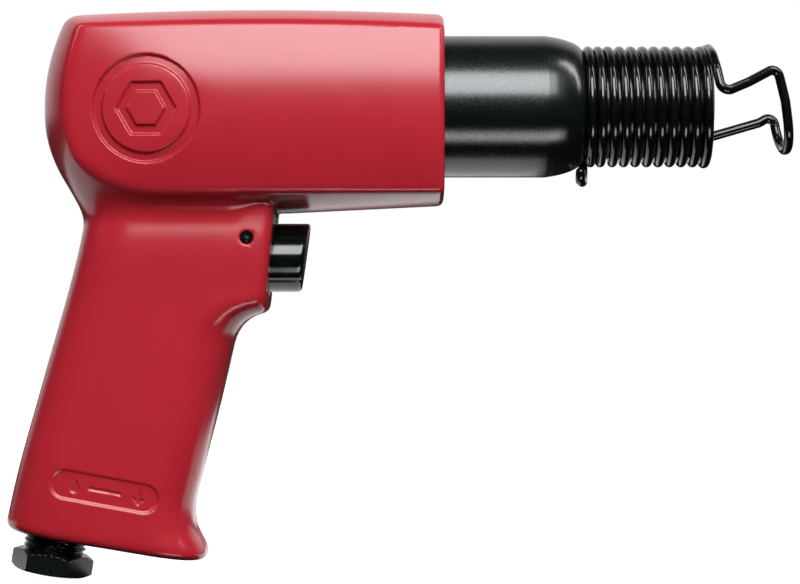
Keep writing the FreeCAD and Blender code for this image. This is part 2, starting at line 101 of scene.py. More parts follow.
HOUSING_LOW, HOUSING_HIGH = box_mm("handle_housing")
BODY_FRONT_X = HOUSING_HIGH.x
BODY_TOP_Z = HOUSING_HIGH.z
BODY_REAR_X = -178.9
BODY_BOTTOM_Z = -26.7
BODY_BOTTOM_SLOPE = 0.0494
BODY_BOTTOM_RUN = 42
CREASE_Y = 20.5
CREASE_BOTTOM_Z = -24.0
CREASE_ROUND = 1.3
FRONT_ROUND = 2.0
PANEL_Y = HOUSING_HIGH.y
PANEL_MIDDLE_Z = -1.5
PANEL_HALF_HEIGHT = 22.5
PANEL_BULGE = 3.0
NARROWING = 3.0
NARROWING_START_X = -125.0
NARROWING_RUN = 45.6
ROOF_DROP = 4.8
CROWN = 1.2
CROWN_MIDDLE_X = -118.8
CROWN_HALF_LENGTH = 47
BACK_SWEEP = 7.8
BACK_CURVE_ABOVE = 0.01034
BACK_CURVE_BELOW = 0.0169

GRIP_HEIGHTS = [-20, -29, -36, -50, -62, -79, -98, -108, -113, -119, -126]
GRIP_REAR_X = [-166.5, -167.7, -168.9, -172.3, -175.7, -180.6, -185.8, -188.1, -189.2, -190.6, -192.2]
GRIP_FRONT_X = [-118.5, -119.5, -121.0, -124.5, -127.6, -131.5, -136.3, -138.5, -138.1, -135.4, -134.2]
GRIP_HALF_WIDTH = [15.7, 15.4, 16.1, 16.2, 16.2, 16.2, 16.2, 16.2, 16.2, 16.2, 16.2]
TRIGGER_HOUSING_FRONT_X = -116.4
TRIGGER_HOUSING_BOTTOM_Z = -55.4

TRIGGER_LOW, TRIGGER_HIGH = box_mm("trigger")
TRIGGER_R = TRIGGER_HIGH.y
TRIGGER_Z = (TRIGGER_LOW.z + TRIGGER_HIGH.z) / 2
TRIGGER_GAP = 0.3
PIN_LOW, PIN_HIGH = box_mm("trigger_pin")
PIN_CENTRE = (PIN_LOW + PIN_HIGH) / 2
PIN_R = (PIN_HIGH.z - PIN_LOW.z) / 2
THROTTLE_LOW, THROTTLE_HIGH = box_mm("throttle_bushing")
THROTTLE_R = THROTTLE_HIGH.y
THROTTLE_Z = (THROTTLE_LOW.z + THROTTLE_HIGH.z) / 2

INLET_TILT = math.radians(9.5)
INLET_MOUTH = np.array([-175.8, 0.0, -115.3])
INLET_AXIS = np.array([-math.sin(INLET_TILT), 0.0, -math.cos(INLET_TILT)])
INLET_ACROSS = np.array([math.cos(INLET_TILT), 0.0, -math.sin(INLET_TILT)])
INLET_THREAD_R = 8.4
INLET_DEPTH = 16.0
EXHAUST_MOUTH = INLET_MOUTH + INLET_ACROSS * 25.0
EXHAUST_R = 8.0
EXHAUST_DEPTH = 12.0

BARREL_LOW, BARREL_HIGH = box_mm("barrel")
BARREL_R = BARREL_HIGH.y
VALVE_HIGH = box_mm("valve_block_rear")[1]

VALVE_POCKET_X = -154.5
CUSHION_POCKET_X = -168
CUSHION_POCKET_R = 13.0
TRIGGER_BORE_X = -137
THROTTLE_BORE_X = -162

GRID_STEP = 1.15
GRID_LENGTH = 123.3
GRID_ROOM_BEFORE = 2.3
GRID_ROOM_AFTER = 3.0
SPLIT_COSINE = 0.94


# --- camera --------------------------------------------------------------------------------------

CAMERA_PLACE = (-0.0832, -0.600, -0.04995)


def make_camera():
    """Square on to the object's side, from a short distance."""
    data = bpy.data.cameras.new("camera")
    data.lens = 100
    data.sensor_width = 36
    camera = bpy.data.objects.new("camera", data)
    camera.location = CAMERA_PLACE
    camera.rotation_euler = (math.pi / 2, 0, 0)
    bpy.context.collection.objects.link(camera)
    bpy.context.scene.camera = camera


# --- solid shapes as fields, negative inside -----------------------------------------------------

def smooth_max(a, b, blend):
    """What is inside both shapes, with the edge between them rounded over a width of blend."""
    overlap = np.clip(blend - np.abs(a - b), 0, None) / blend
    return np.maximum(a, b) + overlap * overlap * blend / 4


def smooth_min(a, b, blend):
    """What is inside either shape, with a fillet between them."""
    return -smooth_max(-a, -b, blend)


def smooth_step(value):
    """0 up to 0 and 1 from 1 on, with soft ends."""
    t = np.clip(value, 0, 1)
    return t * t * (3 - 2 * t)


def smooth_curve(knots, values, at):
    """A curve through the values with no kink at its knots."""
    order = np.argsort(knots)
    knots = np.asarray(knots, float)[order]
    values = np.asarray(values, float)[order]
    slopes = np.gradient(values, knots)
    at = np.clip(at, knots[0], knots[-1])
    span = np.clip(np.searchsorted(knots, at) - 1, 0, len(knots) - 2)
    width = knots[span + 1] - knots[span]
    t = (at - knots[span]) / width
    rise = values[span + 1] - values[span]
    start = width * slopes[span]
    end = width * slopes[span + 1]
    return values[span] + t * (start + t * (3 * rise - 2 * start - end + t * (start + end - 2 * rise)))


def cylinder(x, y, z, start, direction, radius, length):
    """A capped rod from start along a unit direction."""
    px = x - start[0]
    py = y - start[1]
    pz = z - start[2]
    along = px * direction[0] + py * direction[1] + pz * direction[2]
    away = np.sqrt(np.maximum(px * px + py * py + pz * pz - along * along, 0))
    return np.maximum(away - radius, np.abs(along - length / 2) - length / 2)


def body(x, y, z):
    """The block that holds the barrel: crowned roof and floor, bulged panels and a bulged back."""
    out = y / CREASE_Y
    bulge = PANEL_BULGE * ((z - PANEL_MIDDLE_Z) / PANEL_HALF_HEIGHT) ** 2
    narrowing = NARROWING * (np.clip(NARROWING_START_X - x, 0, None) / NARROWING_RUN) ** 2
    panel = np.abs(y) - PANEL_Y + np.sqrt(bulge * bulge + narrowing * narrowing)
    crown = BODY_TOP_Z - CROWN * ((x - CROWN_MIDDLE_X) / CROWN_HALF_LENGTH) ** 2
    roof = (z - crown + ROOF_DROP * out * out) / 1.05
    bottom = BODY_BOTTOM_Z - BODY_BOTTOM_SLOPE * np.clip(BODY_FRONT_X - x, 0, BODY_BOTTOM_RUN)
    floor = bottom + (CREASE_BOTTOM_Z - bottom) * out * out - z
    above = np.clip(z + 0.2, 0, None)
    below = np.clip(-2.5 - z, 0, None)
    back_line = BACK_CURVE_ABOVE * above ** 2 + BACK_CURVE_BELOW * below ** 2
    back = BODY_REAR_X + BACK_SWEEP * out * out + back_line - x
    back = back / np.sqrt(1 + (0.0371 * y) ** 2 + (0.03 * z) ** 2)
    edge = np.clip(np.abs(out), 0, 1)
    shape = smooth_max(roof, back, 3.5 - 2.0 * edge)
    shape = smooth_max(shape, smooth_max(floor, back, 4.0 + 10.0 * edge), 0.5)
    shape = smooth_max(shape, panel, CREASE_ROUND)
    return smooth_max(shape, x - BODY_FRONT_X + 0.02, FRONT_ROUND)


def handle(x, y, z):
    """The grip, pulled in at the neck and flared at the toe, with the bulge that the trigger slides in."""
    rear = smooth_curve(GRIP_HEIGHTS, GRIP_REAR_X, z)
    front = smooth_curve(GRIP_HEIGHTS, GRIP_FRONT_X, z)
    half_width = smooth_curve(GRIP_HEIGHTS, GRIP_HALF_WIDTH, z)
    upright = (x - TRIGGER_HOUSING_FRONT_X - (z + 28) * 0.096) / 1.005
    bulge = smooth_max(upright, TRIGGER_HOUSING_BOTTOM_Z - z, 2.2)
    ahead = smooth_min((x - front) / 1.03, bulge, 1.0 + 7.5 * smooth_step((-44 - z) / 8))
    shape = smooth_max(np.abs(y) - half_width, ahead, 3.2 + 9.8 * smooth_step((-48 - z) / 16))
    shape = smooth_max(shape, (rear - x) / 1.03, 15.0)
    below = (x - INLET_MOUTH[0]) * INLET_AXIS[0] + (z - INLET_MOUTH[2]) * INLET_AXIS[2]
    return smooth_max(smooth_max(shape, below, 3.0), z + 20, 1.0)


def hollows(x, y, z):
    """Every bore and pocket that something sits in, as one field."""
    forward = (1, 0, 0)
    shapes = [
        cylinder(x, y, z, (BARREL_LOW.x, 0, 0), forward, BARREL_R + 0.12, 70),
        cylinder(x, y, z, (VALVE_POCKET_X, 0, 0), forward, VALVE_HIGH.y + 0.1, 28),
        cylinder(x, y, z, (CUSHION_POCKET_X, 0, 0), forward, CUSHION_POCKET_R, 16),
        cylinder(x, y, z, (TRIGGER_BORE_X, 0, TRIGGER_Z), forward, TRIGGER_R + TRIGGER_GAP, 30),
        cylinder(x, y, z, (THROTTLE_BORE_X, 0, THROTTLE_Z), forward, THROTTLE_R + 0.1, 26),
        cylinder(x, y, z, (PIN_CENTRE.x, -20, PIN_CENTRE.z), (0, 1, 0), PIN_R + 0.15, 40),
        cylinder(x, y, z, INLET_MOUTH - INLET_AXIS * INLET_DEPTH, INLET_AXIS,
                 INLET_THREAD_R + 0.1, INLET_DEPTH + 6),
        cylinder(x, y, z, EXHAUST_MOUTH - INLET_AXIS * EXHAUST_DEPTH, INLET_AXIS, EXHAUST_R,
                 EXHAUST_DEPTH + 9),
    ]
    inside = shapes[0]
    for shape in shapes[1:]:
        inside = np.minimum(inside, shape)
    return inside


# --- marks pressed into the sides ----------------------------------------------------------------

EMBLEM = (-149.3, -2.1)
EMBLEM_RING_R = 12.8
EMBLEM_CHANNEL = 2.4
EMBLEM_DEPTH = 0.85
HEXAGON_APOTHEM = 5.6
PILL = (-160.9, -102.4)
PILL_TILT = math.radians(-10.5)
PILL_LENGTH = 29.2
PILL_HEIGHT = 8.2
PILL_DEPTH = 0.45
MARK_WALL = 0.55
MARKED_BEYOND_Y = 8


def channel(distance, width, wall):
    """1 inside a groove that follows a line, 0 outside it, with soft walls."""
    return smooth_step((width / 2 + wall / 2 - distance) / wall)


def emblem(x, z):
    """A ring with a plain hexagon in it."""
    u = x - EMBLEM[0]
    v = z - EMBLEM[1]
    ring = np.abs(np.hypot(u, v) - EMBLEM_RING_R)
    across = np.abs(v)
    for turn in (60, -60):
        angle = math.radians(turn)
        across = np.maximum(across, np.abs(u * math.sin(angle) + v * math.cos(angle)))
    hexagon = np.abs(across - HEXAGON_APOTHEM)
    return EMBLEM_DEPTH * channel(np.minimum(ring, hexagon), EMBLEM_CHANNEL, MARK_WALL)


def pill(x, z):
    """A sunk pill-shaped field with an oil drop and an arrow in it."""
    c = math.cos(PILL_TILT)
    s = math.sin(PILL_TILT)
    u = (x - PILL[0]) * c + (z - PILL[1]) * s
    v = (z - PILL[1]) * c - (x - PILL[0]) * s
    end = PILL_HEIGHT / 2
    edge = np.hypot(np.clip(np.abs(u) - PILL_LENGTH / 2 + end, 0, None), v) - end
    sunk = PILL_DEPTH * smooth_step((0.1 - edge) / 0.9)
    bulb = np.hypot(u + 8.0, v + 0.5) - 1.35
    point = np.maximum(np.abs(u + 8.0) * 0.87 + (v - 1.9) * 0.5, -v - 0.5)
    drop = np.minimum(bulb, point)
    stem = np.maximum(np.abs(u - 9.2) - 0.4, np.abs(v - 0.8) - 1.3)
    head = np.maximum(np.abs(u - 9.2) * 0.7 - (v + 2.1) * 0.7, v + 0.3)
    bar = np.maximum(np.abs(u) - 4.4, np.abs(v) - 0.35)
    drawn = np.minimum(np.minimum(drop, bar), np.minimum(stem, head))
    return sunk + 0.3 * smooth_step((0.15 - drawn) / 0.35)


def marks(x, z):
    """How deep the pressed marks go at a place on either side."""
    return emblem(x, z) + pill(x, z)


def housing(x, y, z):
    """The whole casting."""
    fillet = 1.5 + 4.5 * smooth_step((-120 - x) / 8)
    shape = smooth_min(body(x, y, z), handle(x, y, z), fillet)
    shape = shape + marks(x, z) * (np.abs(y) > MARKED_BEYOND_Y)
    return smooth_max(shape, -hollows(x, y, z), 0.5)


# --- from fields to meshes -----------------------------------------------------------------------

def surface_net(field, low, high, step):
    """Points and quads that wrap the zero level of a field, one point for each grid cell it crosses."""
    axes = [np.arange(a, b + step, step) for a, b in zip(low, high)]
    values = field(*np.meshgrid(*axes, indexing="ij", sparse=True))
    inside = values < 0
    cells = tuple(n - 1 for n in values.shape)
    count = np.zeros(cells, np.int8)
    for i in (0, 1):
        for j in (0, 1):
            for k in (0, 1):
                count += inside[i:cells[0] + i, j:cells[1] + j, k:cells[2] + k]
    crossed = np.argwhere((count > 0) & (count < 8))
    number = np.full(cells, -1)
    number[tuple(crossed.T)] = np.arange(len(crossed))
    total = np.zeros((len(crossed), 3))
    hits = np.zeros((len(crossed), 1))
    quads = []
    for axis in range(3):
        b = (axis + 1) % 3
        c = (axis + 2) % 3
        for db in (0, 1):
            for dc in (0, 1):
                start = crossed.copy()
                start[:, b] += db
                start[:, c] += dc
                end = start.copy()
                end[:, axis] += 1
                here = values[tuple(start.T)]
                there = values[tuple(end.T)]
                cut = (here < 0) != (there < 0)
                point = start.astype(float)
                point[:, axis] += np.where(cut, here / np.where(cut, here - there, 1), 0)
                total += point * cut[:, None]
                hits += cut[:, None]
        first = np.take(inside, range(values.shape[axis] - 1), axis)
        second = np.take(inside, range(1, values.shape[axis]), axis)
        at = np.argwhere(first != second)
        ring = []
        for db, dc in ((-1, -1), (0, -1), (0, 0), (-1, 0)):
            cell = at.copy()
            cell[:, b] += db
            cell[:, c] += dc
            ring.append(number[tuple(cell.T)])
        quad = np.stack(ring, 1)
        backward = ~first[tuple(at.T)]
        quad[backward] = quad[backward][:, ::-1]
        quads.append(quad)
    return np.array(low) + step * total / hits, np.concatenate(quads)


def field_slope(points, field):
    """The field's gradient at each point."""
    small = 0.02
    slope = np.zeros(points.shape)
    for axis in range(3):
        shift = np.zeros(3)
        shift[axis] = small
        slope[:, axis] = (field(*(points + shift).T) - field(*(points - shift).T)) / (2 * small)
    return slope


def settle(points, field, rounds, reach):
    """Moves points onto the zero level of the field, each by no more than reach a round."""
    for _ in range(rounds):
        slope = field_slope(points, field)
        size = np.maximum((slope * slope).sum(1, keepdims=True), 0.05)
        move = -field(*points.T)[:, None] * slope / size
        length = np.maximum(np.linalg.norm(move, axis=1, keepdims=True), 1e-9)
        points = points + move * np.minimum(1, reach / length)
    return points


def split_triangles(points, faces, wanted):
    """Splits the wanted triangles in four, and their neighbours so that no gap opens."""
    ends = np.sort(faces[:, [[0, 1], [1, 2], [2, 0]]], axis=2)
    keys = ends[:, :, 0] * len(points) + ends[:, :, 1]
    unique, edge = np.unique(keys, return_inverse=True)
    edge = edge.reshape(-1, 3)
    marked = np.zeros(len(unique), bool)
    marked[edge[wanted]] = True
    number = np.full(len(unique), -1)
    number[marked] = len(points) + np.arange(marked.sum())
    pairs = unique[marked]
    middle = (points[pairs // len(points)] + points[pairs % len(points)]) / 2
    mids = number[edge]
    split = (mids >= 0).sum(1)
    made = [faces[split == 0]]
    f = faces[split == 3].T
    m = mids[split == 3].T
    made += [np.stack(corner, 1) for corner in
             ((f[0], m[0], m[2]), (m[0], f[1], m[1]), (m[2], m[1], f[2]), (m[0], m[1], m[2]))]
    for turn in range(3):
        order = [turn, (turn + 1) % 3, (turn + 2) % 3]
        only = (split == 1) & (mids[:, turn] >= 0)
        f = faces[only][:, order].T
        m = mids[only][:, order].T
        made += [np.stack((f[0], m[0], f[2]), 1), np.stack((m[0], f[1], f[2]), 1)]
        two = (split == 2) & (mids[:, turn] < 0)
        f = faces[two][:, order].T
        m = mids[two][:, order].T
        made += [np.stack((f[0], f[1], m[1]), 1), np.stack((f[0], m[1], m[2]), 1),
                 np.stack((m[2], m[1], f[2]), 1)]
    return np.vstack([points, middle]), np.concatenate(made)


def bend_of(points, faces, field):
    """How much the surface turns within each triangle, as the least cosine between corner normals."""
    slope = field_slope(points, field)
    normal = slope / np.maximum(np.linalg.norm(slope, axis=1, keepdims=True), 1e-9)
    a, b, c = (normal[faces[:, k]] for k in range(3))
    return np.minimum(np.minimum((a * b).sum(1), (b * c).sum(1)), (c * a).sum(1))


def near_marks(points, faces):
    """Triangles on the walls of the pressed marks."""
    centre = points[faces].mean(1)
    x, y, z = centre.T
    around = np.stack([marks(x + dx, z + dz) for dx in (-0.5, 0, 0.5) for dz in (-0.5, 0, 0.5)])
    return (np.ptp(around, axis=0) > 0.05) & (np.abs(y) > 12)


def mesh_object(name, points, faces, material):
    """A smooth-shaded mesh from points in millimetres."""
    mesh = bpy.data.meshes.new(name)
    faces = faces.tolist() if isinstance(faces, np.ndarray) else faces
    mesh.from_pydata((np.asarray(points) * MM).tolist(), [], faces)
    mesh.validate()
    mesh.shade_smooth()
    mesh.materials.append(material)
    piece = bpy.data.objects.new(name, mesh)
    bpy.context.collection.objects.link(piece)
    return piece


def make_housing(material):
    """The casting as one mesh, finer where it bends and on the walls of the marks."""
    low = (BODY_FRONT_X - GRID_LENGTH, -PANEL_Y - GRID_ROOM_BEFORE, HOUSING_LOW.z - GRID_ROOM_BEFORE)
    high = (BODY_FRONT_X + GRID_ROOM_AFTER, PANEL_Y + GRID_ROOM_AFTER, BODY_TOP_Z + GRID_ROOM_AFTER)
    points, quads = surface_net(housing, low, high, GRID_STEP)
    points = settle(points, housing, 4, 0.4)
    faces = np.concatenate([quads[:, [0, 1, 2]], quads[:, [0, 2, 3]]])
    for _ in range(2):
        wanted = near_marks(points, faces) | (bend_of(points, faces, housing) < SPLIT_COSINE)
        points, faces = split_triangles(points, faces, wanted)
        points = settle(points, housing, 2, 0.2)
    piece = mesh_object("housing_casting", points, faces, material)
    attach(piece, frame["nodes"]["handle_housing"]["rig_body"])
    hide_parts("handle_housing")


# --- round parts ---------------------------------------------------------------------------------

def lathe(name, profile, material, segments=192):
    """A closed profile of (x, radius) points turned about the X axis."""
    profile = np.asarray(profile, float)
    turn = 2 * math.pi * np.arange(segments) / segments
    count = len(profile)
    points = np.zeros((segments, count, 3))
    points[:, :, 0] = profile[:, 0]
    points[:, :, 1] = -profile[:, 1] * np.sin(turn)[:, None]
    points[:, :, 2] = profile[:, 1] * np.cos(turn)[:, None]
    faces = []
    for i in range(segments):
        for j in range(count):
            k = (j + 1) % count
            n = (i + 1) % segments
            faces.append((i * count + j, i * count + k, n * count + k, n * count + j))
    return mesh_object(name, points.reshape(-1, 3), faces, material)


def rounded_profile(corners, round_r, steps=5):
    """A closed outline with each corner turned into a small arc."""
    corners = np.asarray(corners, float)
    made = []
    for before, corner, after in zip(np.roll(corners, 1, 0), corners, np.roll(corners, -1, 0)):
        back = before - corner
        ahead = after - corner
        reach = min(round_r, np.linalg.norm(back) * 0.45, np.linalg.norm(ahead) * 0.45)
        start = corner + back / np.linalg.norm(back) * reach
        end = corner + ahead / np.linalg.norm(ahead) * reach
        for t in np.linspace(0, 1, steps):
            made.append((1 - t) ** 2 * start + 2 * t * (1 - t) * corner + t * t * end)
    return made


def make_barrel(material):
    """The turned barrel: straight rear, long taper, shoulder and the nose the retainer screws on."""
    taper_x = [-44.3, -41.2, -38.2, -36.0, -34.8, -34.2, -34.0]
    taper_r = [19.05, 18.55, 17.75, 16.8, 15.9, 15.0, 14.2]
    corners = [(BARREL_LOW.x, 9.525), (BARREL_LOW.x, BARREL_R - 0.8), (BARREL_LOW.x + 0.8, BARREL_R)]
    corners += [(x, BARREL_R) for x in (-100.0, -80.0, -60.0, -48.0)]
    profile = rounded_profile(corners + [(-44.3, BARREL_R)], 0.3)[5:-5]
    for x in np.linspace(taper_x[0], taper_x[-1] - 0.4, 24):
        profile.append((x, float(smooth_curve(taper_x, taper_r, x))))
    profile += rounded_profile([(-34.0, 14.9), (-34.0, 13.0), (-31.0, 13.0), (-30.4, 13.6), (-0.8, 13.6),
                                (0, 12.8), (0, 5.95), (-0.8, 5.15), (-32.0, 5.15), (-32.0, 9.525)], 0.25)
    piece = lathe("barrel_turned", profile, material)
    mark_sharp(piece, 40)
    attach(piece, frame["nodes"]["barrel"]["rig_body"])
    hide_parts("barrel")


def mark_sharp(piece, degrees):
    """Keeps edges that turn by more than this many degrees crisp."""
    piece.data.set_sharp_from_angle(angle=math.radians(degrees))


# --- trigger -------------------------------------------------------------------------------------

def plunger(x, y, z):
    """A nearly round plunger, a little flat on its diagonals, with a leaning, slightly hollow front."""
    height = z - TRIGGER_Z
    roundness = 1.8
    out = (np.abs(y) ** roundness + np.abs(height) ** roundness) ** (1 / roundness)
    ribs = channel(np.minimum(np.abs(height - 7.3), np.abs(height + 6.1)), 0.7, 0.5)
    face = TRIGGER_HIGH.x - 1.55 + 0.141 * height + 0.28 * (height / TRIGGER_R) ** 2
    shape = smooth_max(out - TRIGGER_R + 0.3 * ribs, x - face, 1.3)
    shape = smooth_max(shape, TRIGGER_LOW.x - x, 1.0)
    ahead = np.clip(x - PIN_CENTRE.x, -0.2, 4.6) + PIN_CENTRE.x
    slot = np.hypot(x - ahead, z - PIN_CENTRE.z) - PIN_R - 0.1
    return smooth_max(shape, -slot, 0.4)


def make_trigger(material):
    """The plunger as one mesh."""
    low = np.array(TRIGGER_LOW) - 1.5
    high = np.array(TRIGGER_HIGH) + 1.5
    points, quads = surface_net(plunger, low, high, 0.3)
    points = settle(points, plunger, 4, 0.2)
    piece = mesh_object("trigger_plunger", points, quads, material)
    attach(piece, frame["nodes"]["trigger"]["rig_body"])
    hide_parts("trigger")


# --- air inlet -----------------------------------------------------------------------------------

INLET_NECK = 4.7
INLET_INSIDE = 14.0
HEX_ACROSS_FLATS = 19.05
HEX_THICK = 5.5
HEX_CHAMFER = 2.0
CHAMFER_DEPTHS = (0.0, 0.1, 0.2, 0.3, 0.4, 0.5, 0.6, 0.7, 0.8, 1.2)
THREAD_PITCH = 1.41
THREAD_DEPTH = 0.75
PIPE_R = 5.56
PIPE_PITCH = 1.41


def thread(height, turn, pitch):
    """0 at a thread's root and 1 on its crest, for a height and an angle in turns."""
    wave = np.abs(((height / pitch - turn) % 1.0) - 0.5) * 2
    return np.clip(wave * 1.5 - 0.2, 0, 1)


def hexagon_radius(angle):
    """Distance from the middle of the hexagon to its edge."""
    off = (angle + math.pi / 6) % (math.pi / 3) - math.pi / 6
    return HEX_ACROSS_FLATS / 2 / np.cos(off - math.pi / 6 * np.sign(off + 1e-9))


def inlet_rows(angle):
    """Radii all round the fitting, row by row: outside thread, hexagon, then the bore back up."""
    turn = angle / (2 * math.pi)
    shank = INLET_INSIDE + INLET_NECK
    rows = [(0.0, angle * 0 + 6.0), (0.0, angle * 0 + INLET_THREAD_R - THREAD_DEPTH - 0.3)]
    for height in np.arange(0.2, shank, 0.12):
        fade = min(1.0, (shank - height) / 1.2)
        rise = THREAD_DEPTH * (1 - thread(height, turn, THREAD_PITCH)) * fade
        rows.append((height, INLET_THREAD_R - 0.05 - rise - THREAD_DEPTH * (1 - fade)))
    flats = hexagon_radius(angle)
    rows.append((shank, angle * 0 + INLET_THREAD_R - THREAD_DEPTH))
    for depth in CHAMFER_DEPTHS:
        rows.append((shank + depth, np.minimum(flats, HEX_ACROSS_FLATS / 2 - 0.2 + HEX_CHAMFER * depth)))
    for depth in reversed(CHAMFER_DEPTHS):
        rows.append((shank + HEX_THICK - depth,
                     np.minimum(flats, HEX_ACROSS_FLATS / 2 - 0.2 + HEX_CHAMFER * depth)))
    end = shank + HEX_THICK
    rows += [(end, angle * 0 + PIPE_R + 1.25), (end - 0.1, angle * 0 + PIPE_R + 1.1),
             (end - 1.2, angle * 0 + PIPE_R)]
    for height in np.arange(end - 1.3, end - 14.0, -0.15):
        cut = 0.55 * thread(height, turn, PIPE_PITCH) * min(1.0, (end - 1.0 - height) / 1.2)
        rows.append((height, PIPE_R + cut * 0.9 - 0.05))
    rows += [(end - 14.0, angle * 0 + 4.5), (4.0, angle * 0 + 4.5), (3.0, angle * 0 + 4.6),
             (3.0, angle * 0 + 6.0)]
    return rows


def make_inlet(material):
    """The fitting as rings of points along its leaning axis."""
    segments = 180
    angle = 2 * math.pi * np.arange(segments) / segments
    rows = inlet_rows(angle)
    base = INLET_MOUTH - INLET_AXIS * INLET_INSIDE
    points = []
    for height, radius in rows:
        ring = np.cos(angle)[:, None] * INLET_ACROSS + np.sin(angle)[:, None] * np.array([0, 1.0, 0])
        points.append(base + INLET_AXIS * height + ring * np.asarray(radius)[:, None])
    faces = []
    count = len(rows)
    for i in range(count):
        for j in range(segments):
            a = i * segments
            b = (i + 1) % count * segments
            k = (j + 1) % segments
            faces.append((a + j, b + j, b + k, a + k))
    piece = mesh_object("inlet_fitting", np.concatenate(points), faces, material)
    mark_sharp(piece, 30)
    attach(piece, frame["nodes"]["inlet_bushing"]["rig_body"])
    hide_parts("inlet_bushing")


# --- retainer spring -----------------------------------------------------------------------------

WIRE_R = 1.3
COIL_R = 15.0
COIL_PITCH = 3.1
COIL_START_X = -30.55
COIL_LEAD = [(-1.305, -32.7), (-1, -32.7), (-0.75, -32.5), (-0.5, -31.8), (-0.305, -30.1), (0, -30.05)]
TANG_ROUTE = [(-33.1, 8.6, -20.05), (-34.8, -3.4, -20.05), (-34.8, -4.2, -17.8)]
TANG_BEND_RADII = [1.6, 5.0]
LOOP_ROUTE = [
    (-0.3, -2.3, 15.5), (-0.2, -9.3, 13.4), (0.4, -13.6, 9.0), (1.6, -15.6, 2.4), (9.0, -12.2, 5.6),
    (17.2, -8.4, 10.0), (19.4, -8.4, 1.0), (21.0, -8.4, -11.7), (20.7, 8.4, -11.5), (18.9, 8.5, -1.4),
    (15.2, 8.6, -3.6), (1.4, 8.6, -7.6),
]
LOOP_BEND_RADII = [8.0, 6.0, 2.2, 6.0, 2.2, 12.0, 7.9, 7.9, 1.9, 3.0]


def bent_path(route, radii, step=0.5):
    """Close points along straight runs joined by tangent arcs."""
    route = [np.array(p, float) for p in route]
    path = [route[0]]
    for before, corner, after, radius in zip(route, route[1:], route[2:], radii):
        back = (before - corner) / np.linalg.norm(before - corner)
        ahead = (after - corner) / np.linalg.norm(after - corner)
        half = math.acos(float(back @ ahead)) / 2
        reach = radius / math.tan(half)
        inward = (back + ahead) / np.linalg.norm(back + ahead)
        centre = corner + inward * radius / math.sin(half)
        start = corner + back * reach - centre
        end = corner + ahead * reach - centre
        sweep = math.pi - 2 * half
        count = max(3, int(radius * sweep / step))
        add_run(path, centre + start, step)
        for k in range(1, count + 1):
            t = k / count
            path.append(centre + (start * math.sin((1 - t) * sweep) + end * math.sin(t * sweep))
                        / math.sin(sweep))
    add_run(path, route[-1], step)
    return path


def add_run(path, end, step):
    """Points along a straight run from the path's end."""
    start = path[-1]
    count = max(1, int(np.linalg.norm(end - start) / step))
    for k in range(1, count + 1):
        path.append(start + (end - start) * k / count)


def coil_path():
    """The wound turns: a closed one at the rear, and a last one that opens out to meet the loop."""
    turns = np.linspace(COIL_LEAD[0][0], 9.97, 2000)
    knots = [turn for turn, x in COIL_LEAD] + [0.25, 1, 2, 3, 4, 5, 6, 7, 8, 9, 9.5, 10]
    places = [x for turn, x in COIL_LEAD] + [-29.75] + [COIL_START_X + COIL_PITCH * k for k in range(1, 10)]
    x = smooth_curve(knots, places + [-1.15, -0.75], turns)
    radius = COIL_R + 1.0 * smooth_step((turns - 9.2) / 0.9)
    return np.stack([x, -radius * np.sin(2 * math.pi * turns), radius * np.cos(2 * math.pi * turns)], 1)


def tube(name, path, radius, material, sides=20):
    """A round wire along a path, with domed ends."""
    path = np.asarray(path, float)
    keep = np.concatenate([[True], np.linalg.norm(np.diff(path, axis=0), axis=1) > 0.05])
    path = path[keep]
    ahead = np.gradient(path, axis=0)
    ahead /= np.linalg.norm(ahead, axis=1, keepdims=True)
    normal = np.cross(ahead[0], (0.3, 0.5, 0.8))
    rings = []
    angle = 2 * math.pi * np.arange(sides) / sides
    for point, direction in zip(path, ahead):
        normal = normal - direction * (normal @ direction)
        normal /= np.linalg.norm(normal)
        side = np.cross(direction, normal)
        ring = np.cos(angle)[:, None] * normal + np.sin(angle)[:, None] * side
        rings.append((point, direction, ring))
    points = []
    for lift in (75, 50, 25):
        points.append(dome(rings[0], -1, lift, radius))
    points += [point + ring * radius for point, direction, ring in rings]
    for lift in (25, 50, 75):
        points.append(dome(rings[-1], 1, lift, radius))
    points = np.array(points)
    rows = len(points)
    faces = []
    for i in range(rows - 1):
        for j in range(sides):
            k = (j + 1) % sides
            faces.append((i * sides + j, i * sides + k, (i + 1) * sides + k, (i + 1) * sides + j))
    faces.append(tuple(range(sides))[::-1])
    faces.append(tuple(range((rows - 1) * sides, rows * sides)))
    return mesh_object(name, points.reshape(-1, 3), faces, material)


def dome(end, sign, lift, radius):
    """One ring of a rounded wire end."""
    point, direction, ring = end
    angle = math.radians(lift)
    return point + sign * direction * radius * math.sin(angle) + ring * radius * math.cos(angle)


def make_retainer(material):
    """One length of spring wire: finger tang, coil on the barrel's nose, and the loop in front."""
    coil = coil_path()
    tang = bent_path([*reversed(TANG_ROUTE), coil[0]], TANG_BEND_RADII)
    loop = bent_path(LOOP_ROUTE, LOOP_BEND_RADII)
    path = np.concatenate([tang[:-1], coil, loop[1:]])
    piece = tube("retainer_spring", path, WIRE_R, material)
    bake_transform(piece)
    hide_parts("retainer_coil", "retainer_loop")


# --- throttle spring -----------------------------------------------------------------------------

SPRING_LOW, SPRING_HIGH = box_mm("throttle_spring")
SPRING_WIRE_R = 0.35
SPRING_TURNS = 5


